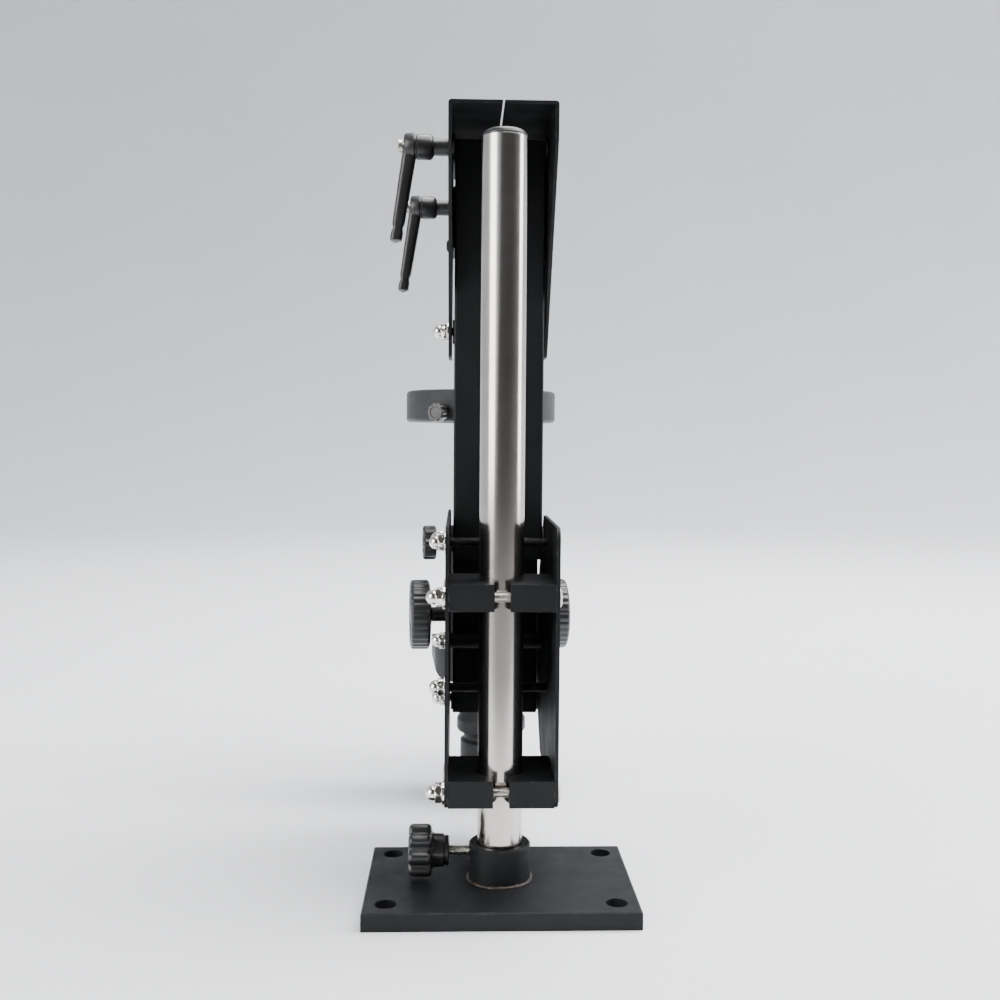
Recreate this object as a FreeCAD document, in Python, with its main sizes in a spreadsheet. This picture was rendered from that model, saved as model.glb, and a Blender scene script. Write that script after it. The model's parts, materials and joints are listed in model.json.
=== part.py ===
import FreeCAD, Part
import math
import os
import Sketcher
from FreeCAD import Placement, Rotation, Vector

# Bench-mounted spring-balanced arm stand for a microscope body, modelled folded upright.
# Row frame, millimetres: origin at the centre of the base plate's underside, +Z up,
# +Y from the pole towards the arm and the ring holder, +X across the arm.

doc = FreeCAD.newDocument("spring_arm_stand")
sheet = doc.addObject("Spreadsheet::Sheet", "dims")

DIMENSIONS = {
    # base and pole
    "base_width": 150, "base_depth": 100, "base_thick": 10, "base_chamfer": 0.8,
    "base_hole_span_x": 125, "base_hole_span_y": 75, "base_hole_dia": 12,
    "collar_rad": 17.5, "collar_top": 31, "pole_rad": 12.7, "pole_wall": 2.5, "pole_fit": 0.05,
    "pole_top": 426.5, "cap_rim": 1.2, "cap_crown": 4, "cap_plug": 12, "cap_taper": 3,
    "pole_seat_gap": 0.2, "collar_screw_z": 26,
    # collar thumb-screw
    "thumb_stud_rad": 3, "thumb_knob_rad": 15.6, "thumb_knob_width": 13, "thumb_hub_rad": 9.5,
    "thumb_hub_length": 10, "thumb_hub_x": -28.6, "thumb_stud_grip": 4, "thumb_tip_gap": 0.6,
    "knob_round": 1.6,
    # sheet metal brackets
    "sheet_thick": 2, "plate_inner": 29.5, "bracket_rear": -22, "bracket_front": 140,
    "bracket_bottom": 56, "bracket_top": 212, "bracket_chin_y": 98, "bracket_chin_z": 92,
    "bracket_crown_y": 84, "bracket_brow_z": 150, "bracket_corner": 6,
    "clamp_front": 30, "clamp_height": 15, "lower_clamp_z": 57, "upper_clamp_z": 166,
    "clamp_slit": 9, "clamp_bolt_y": -17, "clamp_side_gap": 0.05, "clamp_screw_y": 20,
    "side_screw_length": 14, "stay_y": 45, "stay_low_z": 110, "stay_high_z": 198,
    "spacer_y": 98, "spacer_z": 129, "spacer_rad": 5,
    # parallelogram arm: two pivots on the bracket, link length straight up
    "pivot_a_y": 79, "pivot_a_z": 197, "pivot_b_y": 118, "pivot_b_z": 87, "link_length": 243,
    "link_half_width": 27.8, "link_web_back": 9, "upper_link_depth": 36, "lower_link_depth": 25,
    "link_head": 3, "link_bend": 1.5, "upper_tail": 12, "lower_tail": 8, "axle_rad": 3,
    "axle_fit": 0.05, "bush_rad": 5, "bush_flange_rad": 8, "bush_flange": 1.2,
    "bush_shoulder": 2, "bush_fit": 0.05, "open_pivot_fit": 0.3,
    # balance springs inside the upper link
    "spring_half_span": 10, "spring_rad": 8, "spring_wire": 2, "spring_forward": 12,
    "spring_low": 34, "spring_high": 150, "spring_cap": 1.5, "spring_stem_rad": 1.6,
    "spring_stem": 12, "spring_pin_offset": 15,
    # head
    "head_rear": 17, "head_front": 216, "head_top": 452, "head_shoulder": 430, "head_tip_z": 312,
    "head_slit": 1.2, "head_chest_z": 392, "head_tip_rear": 94, "head_tip_front": 130,
    "head_corner": 5, "head_screw_length": 12, "button_rad": 4.6, "button_height": 3,
    # drop post and swivel block
    "post_y": 190, "post_rad": 8, "post_bottom": 8, "post_top": 446, "post_fit": 0.05,
    "block_rear": 163, "block_front": 213, "block_bottom": 392, "block_top": 434,
    "block_slit": 2, "block_screw_y": 173, "block_screw_z": 421, "stop_ring_rad": 14,
    "stop_ring_height": 8, "stop_ring_gap": 0.3, "post_turn": 4,
    # clamp levers
    "lever_neck_rad": 5.2, "lever_hub_rad": 7.8, "lever_hub_x": -42.3, "lever_hub_length": 9.8,
    "lever_plate_x": -52.1, "lever_thick": 11, "lever_round": 1.4, "lever_screw_rad": 4.3,
    "lever_seat_gap": 0.3, "lever_stud_grip": 3, "arm_stud_gap": 4.3, "post_stud_gap": 4,
    "lever_cap_x": 7.4, "lever_cap_height": 3.8, "lever_shank_rad": 2, "lever_shank_x": 3.6,
    "lever_shank_length": 4,
    # focus drive
    "hub_rad": 25, "hub_bottom": 0, "hub_height": 66, "hub_fillet": 3,
    "yoke_half": 42, "yoke_rear": 173, "yoke_bottom": 86, "yoke_height": 26, "yoke_corner": 11, "housing_half": 30,
    "housing_rear": 200, "housing_front": 225, "housing_height": 82, "housing_corner": 3,
    "axle_y": 217.5, "axle_z": 128, "axle_bore_fit": 0.05,
    "focus_axle_rad": 4, "focus_axle_grip": 10, "focus_neck_rad": 5.5, "focus_neck_gap": 0.4,
    "focus_knob_rad": 26, "focus_knob_inner": 44, "focus_knob_width": 15,
    "pinion_rad": 8.2, "pinion_width": 14, "pinion_gap": 0.85, "pinion_room": 16,
    "pinion_clear": 0.3, "rack_tooth_rad": 0.6, "rack_tooth_length": 15, "rack_dovetail": 2.5,
    "rack_half": 14, "rack_gap": 0.3, "rack_thick": 7, "rack_groove_half": 8,
    "rack_groove_gap": 0.1, "rack_bottom": 98, "rack_top": 294,
    "rail_screw_x": 22, "rail_screw_z": 10, "rail_screw_head": 2,
    "tension_knob_rad": 13, "tension_knob_width": 10, "tension_z": 182, "tension_knob_x": 9.5,
    "tension_depth": 14, "tension_grip": 7, "tension_collar_rad": 6,
    # ring holder
    "ring_y": 293, "ring_rad": 60, "ring_bore_rad": 38, "ring_bottom": 272.5,
    "ring_height": 25, "ring_edge": 3, "ring_foot": 10, "ring_screw_rad": 3,
    "ring_screw_angle": 236, "ring_screw_z": 7, "ring_screw_start": 42,
    "ring_screw_length": 28, "ring_knob_start": 63, "ring_knob_rad": 7.5,
    "ring_knob_width": 9, "ring_neck_rad": 4.5, "ring_neck_gap": 0.4,
    # fasteners
    "nut_circum": 5.77, "nut_height": 4, "nut_dome_rad": 4.3, "nut_dome_length": 1,
    "washer_rad": 6.5, "washer_thick": 1.2, "flat_head_rad": 5.6, "flat_head": 1.4,
}
for row, (alias, value) in enumerate(DIMENSIONS.items(), start=1):
    sheet.set("A%d" % row, str(value))
    sheet.setAlias("A%d" % row, alias)
doc.recompute()

nodes = []


def size(alias):
    """Value of one cell, for shapes that cannot take an expression."""
    return float(sheet.get(alias))


def expr(text):
    """Turn a formula in bare cell names into a formula on the sheet."""
    words = sorted(DIMENSIONS, key=len, reverse=True)
    out = ""
    i = 0
    while i < len(text):
        word = next((w for w in words if text.startswith(w, i)), None)
        if word:
            out += "dims." + word
            i += len(word)
        else:
            out += text[i]
            i += 1
    return out


def bind(obj, **formulas):
    """Bind properties of an object to formulas on the sheet."""
    for prop, formula in formulas.items():
        obj.setExpression(prop, expr(str(formula)))
    return obj


def move(obj, x, y, z, rotation=None):
    """Place an object by formulas, after an optional turn."""
    obj.Placement = Placement(Vector(), rotation or Rotation())
    for axis, formula in zip("xyz", (x, y, z)):
        obj.setExpression("Placement.Base." + axis, expr(str(formula)))
    return obj


TURN = {
    "+Z": Rotation(),
    "+X": Rotation(Vector(0, 1, 0), 90),
    "-X": Rotation(Vector(0, 1, 0), -90),
    "+Y": Rotation(Vector(1, 0, 0), -90),
    "-Y": Rotation(Vector(1, 0, 0), 90),
}


def cylinder(name, radius, length, x, y, z, way="+Z"):
    rod = doc.addObject("Part::Cylinder", name)
    bind(rod, Radius=radius, Height=length)
    return move(rod, x, y, z, TURN[way])


def cone(name, radius1, radius2, length, x, y, z, way="+Z"):
    taper = doc.addObject("Part::Cone", name)
    bind(taper, Radius1=radius1, Radius2=radius2, Height=length)
    return move(taper, x, y, z, TURN[way])


def sphere(name, radius, x, y, z):
    ball = doc.addObject("Part::Sphere", name)
    bind(ball, Radius=radius)
    return move(ball, x, y, z)


def block(name, length, width, height, x, y, z):
    brick = doc.addObject("Part::Box", name)
    bind(brick, Length=length, Width=width, Height=height)
    return move(brick, x, y, z)


def fuse(name, shapes):
    joined = doc.addObject("Part::MultiFuse", name)
    joined.Shapes = shapes
    joined.Refine = True
    return joined


def cut(name, base, tools):
    result = doc.addObject("Part::Cut", name)
    result.Base = base
    result.Tool = tools[0] if len(tools) == 1 else fuse(name + "_tools", tools)
    result.Refine = True
    return result


def group(name, shapes):
    """Separate solids that share one node."""
    bundle = doc.addObject("Part::Compound", name)
    bundle.Links = shapes
    return bundle


def round_edges(name, base, radius, wanted):
    """Fillet the edges of a feature that a test picks out."""
    doc.recompute()
    result = doc.addObject("Part::Fillet", name)
    result.Base = base
    picked = [i for i, edge in enumerate(base.Shape.Edges, start=1) if wanted(edge)]
    result.Edges = [(i, radius, radius) for i in picked]
    return result


def swing(name, obj, angle, x, y, z=0):
    """Turn an object about the vertical through the origin, then move it."""
    swung = group(name, [obj])
    swung.Placement = Placement(Vector(), Rotation(Vector(0, 0, 1), 1))
    bind(swung, **{"Placement.Rotation.Angle": angle})
    for axis, formula in zip("xyz", (x, y, z)):
        swung.setExpression("Placement.Base." + axis, expr(str(formula)))
    return swung


def keep(name, obj):
    """Register an object as a node of the assembly."""
    obj.Label = name
    nodes.append(obj)
    return obj


def keep_on_post(name, obj):
    """Register a node that rests turned about the drop post by the angle post_turn."""
    obj.Label = name + "_square"
    keep(name, swing(name + "_turned", obj, "post_turn", "post_y * sin(post_turn * 1deg)",
                     "post_y * (1 - cos(post_turn * 1deg))"))


# ---------------------------------------------------------------- sketch helpers

def sketch_on(body, role, name, offset="0"):
    plane = next(f for f in body.Origin.OriginFeatures if f.Role == role)
    sketch = body.newObject("Sketcher::SketchObject", name)
    sketch.AttachmentSupport = [(plane, "")]
    sketch.MapMode = "FlatFace"
    sketch.setExpression("AttachmentOffset.Base.z", expr(offset))
    return sketch


def pin_point(sketch, geo, pos, u, v):
    """Hold one sketch point at formulas measured from the sketch origin."""
    for kind, formula in (("DistanceX", u), ("DistanceY", v)):
        point = sketch.getPoint(geo, pos)
        value = point.x if kind == "DistanceX" else point.y
        index = sketch.addConstraint(Sketcher.Constraint(kind, -1, 1, geo, pos, value))
        sketch.setExpression("Constraints[%d]" % index, expr(formula))


def number(formula):
    """Evaluate a formula in cell names, for a sketch's first guess."""
    return float(doc.dims.evalExpression(expr(formula)))


def outline(sketch, corners):
    """Closed outline of straight runs through corners given as formulas."""
    first = sketch.GeometryCount
    spots = [Vector(number(u), number(v), 0) for u, v in corners]
    for i, spot in enumerate(spots):
        sketch.addGeometry(Part.LineSegment(spot, spots[(i + 1) % len(spots)]), False)
    for i in range(len(spots)):
        after = first + (i + 1) % len(spots)
        sketch.addConstraint(Sketcher.Constraint("Coincident", first + i, 2, after, 1))
    for i, (u, v) in enumerate(corners):
        pin_point(sketch, first + i, 1, u, v)


def hole(sketch, u, v, radius):
    """Circle in a sketch, with its centre and radius as formulas."""
    centre = Vector(number(u), number(v), 0)
    geo = sketch.addGeometry(Part.Circle(centre, Vector(0, 0, 1), number(radius)), False)
    pin_point(sketch, geo, 3, u, v)
    index = sketch.addConstraint(Sketcher.Constraint("Radius", geo, number(radius)))
    sketch.setExpression("Constraints[%d]" % index, expr(radius))


def pad(body, sketch, name, length):
    feature = body.newObject("PartDesign::Pad", name)
    feature.Profile = sketch
    bind(feature, Length=length)
    doc.recompute()
    return feature


def dress(body, kind, base, amount, wanted):
    """Fillet or chamfer the edges of a body's feature that a test picks out."""
    names = ["Edge%d" % i for i, e in enumerate(base.Shape.Edges, start=1) if wanted(e)]
    feature = body.newObject("PartDesign::" + kind, body.Name + "_" + kind.lower())
    feature.Base = (base, names)
    bind(feature, **{"Radius" if kind == "Fillet" else "Size": amount})
    return feature


def runs_along(edge, axis):
    """True for a straight edge parallel to an axis."""
    if edge.Curve.TypeId != "Part::GeomLine":
        return False
    return abs(edge.Curve.Direction.dot(axis)) > 0.999


X_AXIS, Y_AXIS, Z_AXIS = Vector(1, 0, 0), Vector(0, 1, 0), Vector(0, 0, 1)


# ---------------------------------------------------------------- base and pole

def base_plate():
    body = doc.addObject("PartDesign::Body", "base_plate")
    slab = sketch_on(body, "XY_Plane", "base_outline")
    half_w, half_d = "base_width / 2", "base_depth / 2"
    outline(slab, [("-" + half_w, "-" + half_d), (half_w, "-" + half_d),
                   (half_w, half_d), ("-" + half_w, half_d)])
    for side_x in ("-", ""):
        for side_y in ("-", ""):
            hole(slab, side_x + "base_hole_span_x / 2", side_y + "base_hole_span_y / 2",
                 "base_hole_dia / 2")
    plate = pad(body, slab, "base_pad", "base_thick")
    top = size("base_thick")
    dress(body, "Chamfer", plate, "base_chamfer",
          lambda e: e.Curve.TypeId == "Part::GeomLine" and e.BoundBox.ZMin > top - 0.01)
    keep("base_plate", body)


def pole_collar():
    body = doc.addObject("PartDesign::Body", "pole_collar")
    ring = sketch_on(body, "XY_Plane", "collar_outline", "base_thick")
    hole(ring, "0", "0", "collar_rad")
    hole(ring, "0", "0", "pole_rad + pole_fit")
    wall = pad(body, ring, "collar_pad", "collar_top - base_thick")
    bored = sketch_on(body, "YZ_Plane", "collar_screw_hole")
    hole(bored, "0", "collar_screw_z", "thumb_stud_rad + axle_fit")
    tap = body.newObject("PartDesign::Pocket", "collar_tap")
    tap.Profile = bored
    tap.Type = "ThroughAll"
    doc.recompute()
    if tap.Shape.Volume > wall.Shape.Volume - 1:
        raise ValueError("collar screw hole cuts nothing")
    top = size("collar_top")
    dress(body, "Chamfer", tap, "base_chamfer",
          lambda e: e.Curve.TypeId == "Part::GeomCircle" and e.BoundBox.ZMin > top - 0.01)
    keep("pole_collar", body)


def pole():
    outer = cylinder("pole_outer", "pole_rad", "pole_top - base_thick - pole_seat_gap",
                     0, 0, "base_thick + pole_seat_gap")
    inner = cylinder("pole_inner", "pole_rad - pole_wall", "pole_top", 0, 0, 0)
    keep("pole_tube", cut("pole_tube", outer, [inner]))
    plug = cylinder("cap_plug_rod", "pole_rad - pole_wall", "cap_plug", 0, 0, "pole_top - cap_plug")
    rim = cylinder("cap_rim_disc", "pole_rad", "cap_rim", 0, 0, "pole_top")
    crown = cone("cap_crown_cone", "pole_rad", "pole_rad - cap_taper", "cap_crown - cap_rim",
                 0, 0, "pole_top + cap_rim")
    keep("pole_cap", fuse("pole_cap", [plug, rim, crown]))


def fluted_knob(name, radius, width, flutes, flute_rad, depth, x, y, z, way, extras):
    """Round hand knob with scalloped rim and its necks; its near face starts at x, y, z."""
    body = cylinder(name + "_disc", radius, width, x, y, z, way)
    soft = round_edges(name + "_soft", body, size("knob_round"),
                       lambda e: e.Curve.TypeId == "Part::GeomCircle")
    turn = TURN[way]
    back = turn.multVec(Z_AXIS)
    scallops = []
    for k in range(flutes):
        angle = 2 * math.pi * k / flutes
        reach = number(radius) + flute_rad - depth
        offset = turn.multVec(Vector(reach * math.cos(angle), reach * math.sin(angle), 0))
        start = offset - back
        scallops.append(cylinder("%s_flute%d" % (name, k), flute_rad, width + " + 2",
                                 "%s + (%.4f)" % (x, start.x), "%s + (%.4f)" % (y, start.y),
                                 "%s + (%.4f)" % (z, start.z), way))
    return fuse(name + "_whole", [cut(name + "_scalloped", soft, scallops)] + extras)


def collar_thumb_screw():
    hub_end = "thumb_hub_x - thumb_hub_length"
    seat = hub_end + " - thumb_stud_grip"
    keep("collar_stud", cylinder("collar_stud", "thumb_stud_rad",
                                 "-(pole_rad + thumb_tip_gap) - (%s)" % seat,
                                 seat, 0, "collar_screw_z", "+X"))
    hub = cylinder("collar_knob_hub", "thumb_hub_rad", "thumb_hub_length",
                   hub_end, 0, "collar_screw_z", "+X")
    socket = cylinder("collar_knob_socket", "thumb_stud_rad", "-(%s)" % seat,
                      seat, 0, "collar_screw_z", "+X")
    knob = fluted_knob("collar_knob", "thumb_knob_rad", "thumb_knob_width", 8, 4.5, 3,
                       hub_end, "0", "collar_screw_z", "-X", [hub])
    keep("collar_knob", cut("collar_knob", knob, [socket]))


# ---------------------------------------------------------------- fasteners

def dome_nut(name, x, y, z):
    """Acorn nut whose seat is at x and whose dome points to -X."""
    hexagon = doc.addObject("Part::Prism", name + "_hex")
    hexagon.Polygon = 6
    bind(hexagon, Circumradius="nut_circum", Height="nut_height")
    move(hexagon, x, y, z, TURN["-X"])
    neck = cylinder(name + "_neck", "nut_dome_rad", "nut_dome_length",
                    x + " - nut_height", y, z, "-X")
    dome = sphere(name + "_dome", "nut_dome_rad", x + " - nut_height - nut_dome_length", y, z)
    return fuse(name, [hexagon, neck, dome])


def cross_bolts(name, places):
    """Bolts through both side plates: low head on the right, dome nut on the left."""
    outside = "plate_inner + sheet_thick"
    rods, nuts, washers = [], [], []
    for k, (y, z) in enumerate(places):
        start = "-(%s + washer_thick)" % outside
        rod = cylinder("%s_rod%d" % (name, k), "axle_rad", "2 * (%s) + washer_thick" % outside,
                       start, y, z, "+X")
        head = cylinder("%s_head%d" % (name, k), "flat_head_rad", "flat_head",
                        outside, y, z, "+X")
        rods.append(fuse("%s_bolt%d" % (name, k), [rod, head]))
        nuts.append(dome_nut("%s_nut%d" % (name, k), start, y, z))
        disc = cylinder("%s_disc%d" % (name, k), "washer_rad", "washer_thick", start, y, z, "+X")
        bore = cylinder("%s_eye%d" % (name, k), "axle_rad", "washer_thick", start, y, z, "+X")
        washers.append(cut("%s_washer%d" % (name, k), disc, [bore]))
    keep(name + "_bolts", group(name + "_bolts", rods))
    keep(name + "_nuts", group(name + "_nuts", nuts))
    keep(name + "_washers", group(name + "_washers", washers))


def side_screws(name, places, length, head_rad, head_height):
    """Screws driven through both side plates into the block between them."""
    outside = "(plate_inner + sheet_thick)"
    screws = []
    for k, (y, z) in enumerate(places):
        for tag, way, sign in (("right", "+X", ""), ("left", "-X", "-")):
            item = "%s_%s%d" % (name, tag, k)
            shank = cylinder(item + "_shank", "axle_rad", length,
                             "%s(%s - %s)" % (sign, outside, length), y, z, way)
            head = cylinder(item + "_head", head_rad, head_height, sign + outside, y, z, way)
            screws.append(fuse(item, [shank, head]))
    keep(name, group(name, screws))


# ---------------------------------------------------------------- pole bracket

def side_plate(name, corners, holes, left, radius, sharp_at=()):
    """Sheet side plate in the Y-Z plane, with rounded corners."""
    body = doc.addObject("PartDesign::Body", name)
    face = sketch_on(body, "YZ_Plane", name + "_outline")
    outline(face, corners)
    for y, z, r in holes:
        hole(face, y, z, r)
    plate = pad(body, face, name + "_pad", "sheet_thick")
    dress(body, "Fillet", plate, radius,
          lambda e: runs_along(e, X_AXIS) and not any(
              abs(e.BoundBox.Center.y - y) < 0.1 and abs(e.BoundBox.Center.z - z) < 0.1
              for y, z in sharp_at))
    side = "-(plate_inner + sheet_thick)" if left else "plate_inner"
    bind(body, **{"Placement.Base.x": side})
    return body


CLAMP_BOLTS = [("clamp_bolt_y", "lower_clamp_z + clamp_height / 2"),
               ("clamp_bolt_y", "upper_clamp_z + clamp_height / 2")]
BLOCK_SCREWS = [("clamp_screw_y", "lower_clamp_z + clamp_height / 2"),
                ("clamp_screw_y", "upper_clamp_z + clamp_height / 2")]
LINK_AXLES = [("pivot_a_y", "pivot_a_z"), ("pivot_b_y", "pivot_b_z")]
STAYS = [("stay_y", "stay_low_z"), ("stay_y", "stay_high_z"), ("spacer_y", "spacer_z")]


def clamp_block(level):
    """Block that grips the pole, slit at the back where its bolt pulls it shut."""
    name, low = level + "_clamp_block", level + "_clamp_z"
    half = "plate_inner - clamp_side_gap"
    solid = block(name + "_solid", "2 * (%s)" % half, "clamp_front - bracket_rear",
                  "clamp_height", "-(%s)" % half, "bracket_rear", low)
    bore = cylinder(name + "_bore", "pole_rad + pole_fit", "clamp_height", 0, 0, low)
    slit = block(name + "_slit", "clamp_slit", "-bracket_rear", "clamp_height",
                 "-clamp_slit / 2", "bracket_rear", low)
    taps = [cylinder("%s_tap%d" % (name, k), "axle_rad", "2 * plate_inner", "-plate_inner",
                     y, low + " + clamp_height / 2", "+X")
            for k, y in enumerate(("clamp_bolt_y", "clamp_screw_y"))]
    keep(name, cut(name, solid, [bore, slit] + taps))


def bracket():
    rear = [("bracket_rear", "bracket_bottom"), ("bracket_chin_y", "bracket_bottom"),
            ("bracket_front", "bracket_chin_z")]
    square = rear + [("bracket_front", "bracket_top"), ("bracket_rear", "bracket_top")]
    sloped = rear + [("bracket_front", "bracket_brow_z"), ("bracket_crown_y", "bracket_top"),
                     ("bracket_rear", "bracket_top")]
    holes = [(y, z, "axle_rad") for y, z in CLAMP_BOLTS + BLOCK_SCREWS + LINK_AXLES + STAYS]
    for side, corners in (("left", square), ("right", sloped)):
        name = "bracket_plate_" + side
        keep(name, side_plate(name, corners, holes, side == "left", "bracket_corner"))
    cross_bolts("bracket", CLAMP_BOLTS + LINK_AXLES + STAYS)
    for level in ("lower", "upper"):
        clamp_block(level)
    side_screws("clamp_block_screws", BLOCK_SCREWS, "side_screw_length",
                "flat_head_rad", "flat_head")
    half = "plate_inner - clamp_side_gap"
    sleeve = cylinder("spacer_sleeve", "spacer_rad", "2 * (%s)" % half, "-(%s)" % half,
                      "spacer_y", "spacer_z", "+X")
    eye = cylinder("spacer_bore", "axle_rad", "2 * plate_inner", "-plate_inner",
                   "spacer_y", "spacer_z", "+X")
    keep("bracket_spacer", cut("bracket_spacer", sleeve, [eye]))


# ---------------------------------------------------------------- parallelogram links

def link(name, pivot_y, pivot_z, depth, tail):
    """Sheet channel, web towards the pole, open towards the front, with two pivot holes."""
    back = "(%s - link_web_back)" % pivot_y
    low = "(%s - (%s))" % (pivot_z, tail)
    high = "(%s + link_length + link_head)" % pivot_z
    half = "link_half_width"
    body = doc.addObject("PartDesign::Body", name)
    section = sketch_on(body, "XY_Plane", name + "_section", low)
    front = "%s + (%s)" % (back, depth)
    outline(section, [("-" + half, front), ("-" + half, back), (half, back), (half, front),
                      (half + " - sheet_thick", front),
                      (half + " - sheet_thick", back + " + sheet_thick"),
                      ("-" + half + " + sheet_thick", back + " + sheet_thick"),
                      ("-" + half + " + sheet_thick", front)])
    channel = pad(body, section, name + "_pad", "%s - %s" % (high, low))
    bend = size("link_half_width") - 0.01
    rear = number(back) + 0.01
    bent = dress(body, "Fillet", channel, "link_bend",
                 lambda e: runs_along(e, Z_AXIS) and abs(e.BoundBox.Center.x) > bend
                 and e.BoundBox.Center.y < rear)
    doc.recompute()
    holes = sketch_on(body, "YZ_Plane", name + "_pivots", "-link_half_width - 1")
    for rise in ("0", "link_length"):
        hole(holes, pivot_y, "%s + %s" % (pivot_z, rise), "bush_rad")
    bored = body.newObject("PartDesign::Pocket", name + "_bores")
    bored.Profile = holes
    bored.Reversed = True
    bored.Type = "ThroughAll"
    doc.recompute()
    if bored.Shape.Volume > bent.Shape.Volume - 1:
        raise ValueError(name + " pivot holes cut nothing")
    keep(name, body)


def link_bushes(name, pivot_y, pivot_z, top_fit):
    """Flanged bushes in the channel walls, running on the axles."""
    bushes = []
    reach = "(link_half_width + bush_flange)"
    for end, rise, fit in (("foot", "0", "bush_fit"), ("top", "link_length", top_fit)):
        z = "%s + %s" % (pivot_z, rise)
        for tag, way, sign in (("right", "-X", ""), ("left", "+X", "-")):
            item = "%s_%s_%s" % (name, end, tag)
            barrel = cylinder(item + "_barrel", "bush_rad",
                              "sheet_thick + bush_flange + bush_shoulder",
                              sign + reach, pivot_y, z, way)
            flange = cylinder(item + "_flange", "bush_flange_rad", "bush_flange",
                              sign + reach, pivot_y, z, way)
            bore = cylinder(item + "_bore", "axle_rad + " + fit, "2 * plate_inner",
                            "%s(2 * plate_inner)" % sign, pivot_y, z, way)
            bushes.append(cut(item, fuse(item + "_body", [barrel, flange]), [bore]))
    keep(name, group(name, bushes))


def balance_springs():
    """Extension springs drawn as the outer tube of their coils, between two cross pins."""
    low, high = "(pivot_a_z + spring_low)", "(pivot_a_z + spring_high)"
    y = "pivot_a_y + spring_forward"
    tubes, caps = [], []
    for tag, x in (("left", "-spring_half_span"), ("right", "spring_half_span")):
        outer = cylinder("spring_outer_" + tag, "spring_rad", high + " - " + low, x, y, low)
        inner = cylinder("spring_inner_" + tag, "spring_rad - spring_wire",
                         high + " - " + low, x, y, low)
        tubes.append(cut("spring_tube_" + tag, outer, [inner]))
        for end, disc_z, stem_z in (("foot", low + " - spring_cap", low + " - spring_stem"),
                                    ("top", high, high)):
            item = "spring_%s_%s" % (end, tag)
            disc = cylinder(item + "_disc", "spring_rad", "spring_cap", x, y, disc_z)
            stem = cylinder(item + "_stem", "spring_stem_rad", "spring_stem", x, y, stem_z)
            caps.append(fuse(item, [disc, stem]))
    keep("balance_springs", group("balance_springs", tubes))
    keep("spring_end_caps", group("spring_end_caps", caps))
    for name, z in (("spring_top_pin", high + " + spring_pin_offset"),
                    ("spring_foot_pin", low + " - spring_pin_offset")):
        keep(name, cylinder(name, "axle_rad", "2 * (link_half_width - sheet_thick)",
                            "-(link_half_width - sheet_thick)", y, z, "+X"))


# ---------------------------------------------------------------- head

HEAD_SCREWS = [("block_front - 14", "block_bottom + 7"), ("block_front - 8", "block_top - 7")]


def head_plates():
    upper_z, lower_z = "pivot_a_z + link_length", "pivot_b_z + link_length"
    corners = [("head_rear", "head_shoulder"), ("head_tip_rear", "head_tip_z"),
               ("head_tip_front", "head_tip_z"), ("head_front", "head_chest_z"),
               ("head_front", "head_top"), ("head_rear", "head_top")]
    holes = [("pivot_a_y", upper_z, "axle_rad"), ("pivot_b_y", lower_z, "axle_rad"),
             ("block_screw_y", "block_screw_z", "axle_rad + axle_fit")]
    holes += [(y, z, "axle_rad") for y, z in HEAD_SCREWS]
    top = size("head_top")
    roof_corners = [(size("head_rear"), top), (size("head_front"), top)]
    reach = "plate_inner + sheet_thick - head_slit / 2"
    for side, left, near, far in (("left", True, "sheet_thick / 2", reach),
                                  ("right", False, "sheet_thick / 2", "sheet_thick - (%s)" % reach)):
        name = "head_plate_" + side
        body = side_plate(name, corners, holes, left, "head_corner", sharp_at=roof_corners)
        roof = sketch_on(body, "XY_Plane", name + "_roof", "head_top - sheet_thick")
        outline(roof, [(near, "head_rear"), (far, "head_rear"),
                       (far, "head_front"), (near, "head_front")])
        flange = pad(body, roof, name + "_flange", "sheet_thick")
        bend_x = 0 if left else size("sheet_thick")
        dress(body, "Fillet", flange, "sheet_thick - 0.2",
              lambda e: runs_along(e, Y_AXIS) and e.BoundBox.ZMin > top - 0.01
              and abs(e.BoundBox.Center.x - bend_x) < 0.01)
        keep(name, body)


def head_axles():
    outside = "plate_inner + sheet_thick"
    upper_z = "pivot_a_z + link_length"
    rod = cylinder("arm_axle_rod", "axle_rad", "2 * (%s)" % outside,
                   "-(%s)" % outside, "pivot_a_y", upper_z, "+X")
    head = cylinder("arm_axle_head", "flat_head_rad", "flat_head", outside,
                    "pivot_a_y", upper_z, "+X")
    keep("arm_axle", fuse("arm_axle", [rod, head]))
    cross_bolts("head", [("pivot_b_y", "pivot_b_z + link_length")])
    side_screws("head_block_screws", HEAD_SCREWS, "head_screw_length",
                "button_rad", "button_height")


def swivel_block():
    """Block between the head plates that carries the drop post, slit for its clamp lever."""
    half = "plate_inner - clamp_side_gap"
    height = "block_top - block_bottom"
    solid = block("swivel_solid", "2 * (%s)" % half, "block_front - block_rear", height,
                  "-(%s)" % half, "block_rear", "block_bottom")
    bore = cylinder("swivel_bore", "post_rad + post_fit", height, 0, "post_y", "block_bottom")
    slit = block("swivel_slit", "block_slit", "post_y - block_rear", height,
                 "-block_slit / 2", "block_rear", "block_bottom")
    screw = cylinder("swivel_screw_hole", "axle_rad + axle_fit", "2 * plate_inner",
                     "-plate_inner", "block_screw_y", "block_screw_z", "+X")
    taps = [cylinder("swivel_tap%d" % k, "axle_rad", "2 * plate_inner", "-plate_inner",
                     y, z, "+X") for k, (y, z) in enumerate(HEAD_SCREWS)]
    keep("swivel_block", cut("swivel_block", solid, [bore, slit, screw] + taps))


LEVER_OUTLINE = [("0", "8.6"), ("-6.6", "8.4"), ("-7.8", "-4"), ("-16.6", "-52.5"),
                 ("-16.6", "-56"), ("-15", "-59"), ("-9.8", "-59"), ("-8.4", "-50"),
                 ("0", "-8.4")]


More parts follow.
